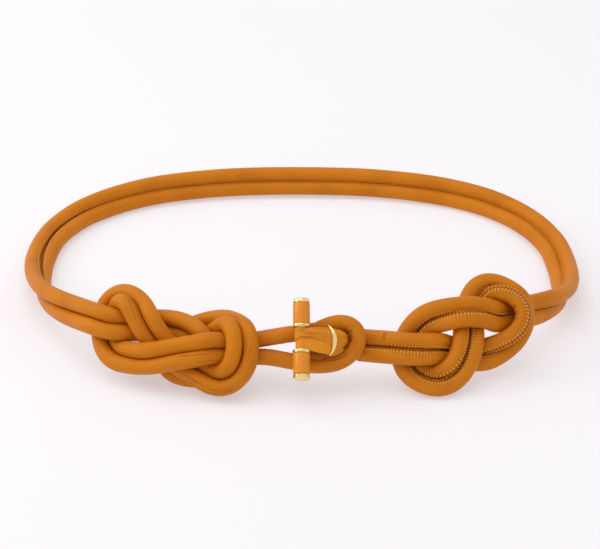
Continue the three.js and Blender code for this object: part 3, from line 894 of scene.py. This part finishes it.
def wrap_line(share, bulge):
    """A point of the strap's path, across and out from the bar's axis, raised by the bulge."""
    radius = WRAP_RADIUS + bulge
    if share < BEHIND_SHARE:
        s = share / BEHIND_SHARE
        across = math.cos(WRAP_START) * radius
        out = math.sin(WRAP_START) * radius
        return BEHIND_ACROSS + (across - BEHIND_ACROSS) * s, BEHIND_OUT + (out - BEHIND_OUT) * s
    if share < FRONT_SHARE:
        angle = WRAP_START + (WRAP_END - WRAP_START) * (share - BEHIND_SHARE) / (FRONT_SHARE - BEHIND_SHARE)
        return math.cos(angle) * radius, math.sin(angle) * radius
    s = (share - FRONT_SHARE) / (1 - FRONT_SHARE)
    across = math.cos(WRAP_END) * radius
    out = math.sin(WRAP_END) * radius
    ease = 0.55 * s + 0.45 * s * s * (3 - 2 * s)
    return across + (FRONT_ACROSS - across) * s, out + (FRONT_OUT + bulge * 0.7 - out) * ease


def strap_edge(across, column):
    """The height of one of the strap's edges at a distance across."""
    return float(np.interp(across, STRAP_EDGES[:, 0], STRAP_EDGES[:, column]))


def lower_layer(share, width):
    """The smooth part of the strap, which widens and drops a little on its way to the keeper."""
    across, out = wrap_line(share, 0.0)
    away = max(0.0, across - 3) / 12
    low = strap_edge(across, 1)
    if share < BEHIND_SHARE:
        low -= BEHIND_DROP * float(step_up(across, 1.0, 4.0) - step_up(across, 9.5, 14.0))
    high = strap_edge(across, 2) + LAYER_LAP
    out -= 0.5 * away * ((width - 0.5) * 2) ** 2
    return (across, low + width * (high - low), out)


def upper_layer(share, width):
    """The bunched part of the strap, which lies over the lower one and creases towards the keeper."""
    across, out = wrap_line(share, 0.5)
    low = strap_edge(across, 2)
    up = low + width * (strap_edge(across, 3) - low)
    front = float(step_up(out, 0.0, 3.0))
    opening = 0.25 + 0.75 * float(step_up(across, -3.0, 3.0))
    crease = math.sin(width * 3.1 * math.pi + across * 0.2 + 0.6) * 0.42
    crease += math.sin(width * 5.6 * math.pi - across * 0.37 + 1) * 0.25
    swell = math.sin(min(1.0, 0.08 + width * 1.05) * math.pi) * 0.55
    return (across, up, out + (crease + swell) * front * opening)


lower_strip = strip("strap_lower_layer", 90, 24, lower_layer, STRAP_THICK, 0.0)
upper_strip = strip("strap_upper_layer", 110, 44, upper_layer, STRAP_THICK * 0.8, 1.0)
# The run behind the bar is marked for painted shade, as it lies in the shade between the strap and the loop.
shaded = [1.0 if v.co.z < SHADED_BELOW else 0.0 for v in lower_strip.data.vertices]
marked(lower_strip.data, "shaded", shaded)
for layer in (lower_strip, upper_strip):
    layer.data.transform(bar_frame)

# The strap's gathered end, from the keeper down through the loop, and the tucked corner under it.
# Columns: across, up, out, height, thickness.
GATHER = [
    (13.6, -3.9, 7.9, 12.0, 4.0), (16.0, -3.9, 7.7, 12.6, 5.0), (18.6, -3.5, 7.0, 11.0, 5.8),
    (21.2, -3.0, 5.4, 9.0, 5.8), (23.0, -2.9, 2.6, 7.6, 5.4), (23.9, -3.1, -0.5, 7.8, 5.4),
    (25.2, -3.0, -3.8, 11.0, 6.4), (27.4, -4.6, -7.4, 10.6, 6.4), (29.8, -5.1, -8.5, 14.6, 8.2),
    (31.6, -5.2, -8.6, 16.0, 8.8), (33.0, -5.4, -8.5, 16.2, 8.8),
]
TUCK = [
    (13.6, -9.0, 6.6, 5.0, 3.4), (16.4, -9.2, 6.4, 5.4, 4.0), (19.0, -8.9, 5.2, 5.0, 4.2),
    (21.2, -8.2, 2.6, 4.2, 4.0), (22.6, -7.2, -1.2, 3.6, 3.6), (23.6, -6.2, -5.0, 3.4, 3.4),
]
GATHER_SIDES = 48
GATHER_STEPS = 10
GATHER_CREASED = 0.8
GATHER_RIBS = 7
TUCK_RIBS = 4


def gathered(name, rows, ribs):
    """A bunch of leather along the rows, with creases along its length."""
    line = through([[*on_sheet(a, u, o), h, t] for a, u, o, h, t in rows], GATHER_STEPS)
    ahead = units(np.gradient(line[:, :3], axis=0))
    count = len(line)
    verts = []
    for i, row in enumerate(line):
        up = np.array([0, math.sin(FRONT_LEAN), math.cos(FRONT_LEAN)])
        up = units(up - ahead[i] * np.dot(up, ahead[i]))
        over = np.cross(up, ahead[i])
        along = i / (count - 1)
        for side in range(GATHER_SIDES):
            angle = 2 * math.pi * side / GATHER_SIDES
            ruffle = 0.06 * math.cos(ribs * angle + 2.5 * along)
            ruffle += 0.05 * math.cos((ribs + 4) * angle - 4 * along + 1)
            ruffle += 0.04 * math.cos(3 * angle + 1.3)
            size = 1 + ruffle * min(1.0, along * 5 + 0.2)
            aside = up * math.cos(angle) * row[3] / 2 * size
            verts.append(row[:3] + aside + over * math.sin(angle) * row[4] / 2 * size)
    made = meshed(name, [tuple(v * MM + HOME) for v in verts], tube_faces(count, GATHER_SIDES))
    marked(made.data, "creased", [GATHER_CREASED] * len(verts))
    return made


def turn_outwards(made):
    """Makes all faces of a closed mesh point outwards."""
    pick(made)
    bpy.ops.object.mode_set(mode="EDIT")
    bpy.ops.mesh.select_all(action="SELECT")
    bpy.ops.mesh.normals_make_consistent(inside=False)
    bpy.ops.object.mode_set(mode="OBJECT")


gathered_end = gathered("strap_gathered_end", GATHER, GATHER_RIBS)
tucked_corner = gathered("strap_tucked_corner", TUCK, TUCK_RIBS)
pick(lower_strip, upper_strip, gathered_end, tucked_corner)
bpy.ops.object.join()
strap = lower_strip
strap.name = "creased_toggle_strap"
strap.data.name = "creased_toggle_strap"
strap.data.materials.append(strap_leather)
turn_outwards(strap)
finished(strap, Matrix.Identity(4), "toggle_strap")

# Strap keeper.
# A thin band of the same gold metal, bent into a flat ring round the strap's neck and a little broader and
# bowed outwards at the front.
KEEPER_AT = (15.2, -4.0, 7.5)
KEEPER_HIGH = 8.1
KEEPER_DEEP = 4.1
KEEPER_WALL = 0.55
KEEPER_STEPS = 96
KEEPER_BOW = 3.2
KEEPER_BACK = 0.4
# The band's section. Columns: share of its half width, growth outwards.
KEEPER_SECTION = [(-1, 0), (-0.6, 0.45), (0.6, 0.45), (1, 0), (0.6, -0.3), (-0.6, -0.3)]
keeper_verts = []
for i in range(KEEPER_STEPS):
    angle = 2 * math.pi * i / KEEPER_STEPS
    front = max(0.0, math.sin(angle))
    up = KEEPER_HIGH * math.cos(angle)
    out = KEEPER_DEEP * math.copysign(abs(math.sin(angle)) ** 0.8, math.sin(angle))
    bow = KEEPER_BOW * front ** 1.5 - KEEPER_BACK
    half = 0.5 + 0.85 * front ** 3
    for share, grow in KEEPER_SECTION:
        reach = 1 + grow * KEEPER_WALL / 5
        keeper_verts.append((bow + half * share, up * reach, out * reach + grow * KEEPER_WALL * front))
section = len(KEEPER_SECTION)
keeper_faces = []
for i in range(KEEPER_STEPS):
    for j in range(section):
        here = i * section
        after = (i + 1) % KEEPER_STEPS * section
        beside = (j + 1) % section
        keeper_faces.append((here + j, here + beside, after + beside, after + j))
keeper = meshed("gold_strap_keeper", keeper_verts, keeper_faces)
turn_outwards(keeper)
soften = keeper.modifiers.new("soften", "SUBSURF")
soften.levels = 2
soften.render_levels = 2
bpy.ops.object.modifier_apply(modifier="soften")
keeper.data.materials.append(gold_material("keeper_gold"))
finished(keeper, sheet_frame(KEEPER_AT), "strap_keeper")

# Floor and lights.
# The floor is plain and pale, and glows a little with painted light like a photo table lit from below, so
# shadows on it stay light.
# One broad soft light hangs over the belt and a weaker one stands at the side.
FLOOR_SIZE = 12
FLOOR_DROP = 0.0001
FLOOR_COLOUR = (0.5, 0.489, 0.503, 1)
FLOOR_GLOW_COLOUR = (1.0, 0.977, 1.005, 1)
FLOOR_GLOW = 0.42
WORLD_COLOUR = (1.0, 0.99, 1.0, 1)
WORLD_LIGHT = 0.78
bpy.ops.mesh.primitive_plane_add(size=FLOOR_SIZE, location=(0, 0, -FLOOR_DROP))
floor = bpy.context.active_object
floor.name = "floor"
pale_floor, _, floor_shader = new_material("pale_floor")
floor_shader.inputs["Base Color"].default_value = FLOOR_COLOUR
# The floor's glow is painted light that keeps shadows on it light.
floor_shader.inputs["Emission Color"].default_value = FLOOR_GLOW_COLOUR
floor_shader.inputs["Emission Strength"].default_value = FLOOR_GLOW
floor_shader.inputs["Roughness"].default_value = 0.9
floor_shader.inputs["Specular IOR Level"].default_value = 0.1
floor.data.materials.append(pale_floor)
floor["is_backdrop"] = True


def soft_light(name, place, aim, size, power):
    """A round light turned to its aim. Places and size are in metres, the power in watts."""
    made = bpy.data.lights.new(name, "AREA")
    made.shape = "DISK"
    made.size = size
    made.energy = power
    lamp = bpy.data.objects.new(name, made)
    bpy.context.scene.collection.objects.link(lamp)
    lamp.location = place
    lamp.rotation_euler = (Vector(aim) - Vector(place)).to_track_quat("-Z", "Y").to_euler()


soft_light("top_light", (-0.35, 0.0, 1.6), (0, 0, 0), 1.7, 8)
soft_light("side_light", (-1.5, 0.1, 0.9), (0, -0.02, 0.02), 0.9, 7)
world = bpy.data.worlds.new("studio")
world.use_nodes = True
background = world.node_tree.nodes["Background"]
background.inputs["Color"].default_value = WORLD_COLOUR
background.inputs["Strength"].default_value = WORLD_LIGHT
bpy.context.scene.world = world

# The bounds of every shown piece but the floor.
bpy.ops.object.select_all(action="DESELECT")
low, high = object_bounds()
